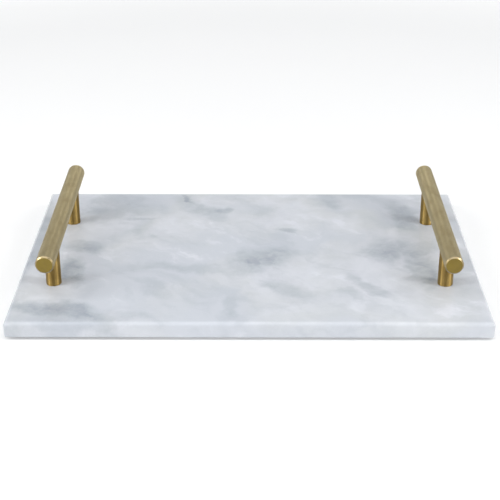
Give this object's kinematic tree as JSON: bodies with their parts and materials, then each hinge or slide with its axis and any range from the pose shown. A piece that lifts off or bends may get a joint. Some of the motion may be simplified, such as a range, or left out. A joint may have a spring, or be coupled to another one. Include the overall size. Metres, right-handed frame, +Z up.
{
  "type": "dresser vanity tray",
  "caption": "Rectangular veined marble tray on soft feet, with a knurled brass bar handle standing on posts near each end.",
  "frame": {"origin": "on the resting plane under the feet, below the middle of the slab", "axes": "+X along the slab's length to the right-hand handle, -Y the front, +Z up"},
  "size_m": [0.305, 0.203, 0.0459],
  "materials": {
    "marble": "polished white marble with soft grey clouds and faint veins",
    "knurled_brass": "fine diamond knurl with plain turned ends, satin",
    "polished_brass": "polished, lacquered",
    "plated_steel": "bright zinc plate",
    "soft_rubber": "matt, pale grey"
  },
  "bodies": {
    "root": {"marble_slab": "marble", "left_handle_bar": "knurled_brass", "right_handle_bar": "knurled_brass", "left_front_post": "polished_brass", "left_rear_post": "polished_brass", "right_front_post": "polished_brass", "right_rear_post": "polished_brass", "left_front_stud": "plated_steel", "left_rear_stud": "plated_steel", "right_front_stud": "plated_steel", "right_rear_stud": "plated_steel", "left_front_screw": "plated_steel", "left_rear_screw": "plated_steel", "right_front_screw": "plated_steel", "right_rear_screw": "plated_steel", "left_front_washer": "plated_steel", "left_rear_washer": "plated_steel", "right_front_washer": "plated_steel", "right_rear_washer": "plated_steel", "left_front_foot": "soft_rubber", "left_rear_foot": "soft_rubber", "right_front_foot": "soft_rubber", "right_rear_foot": "soft_rubber"}
  },
  "joints": []
}
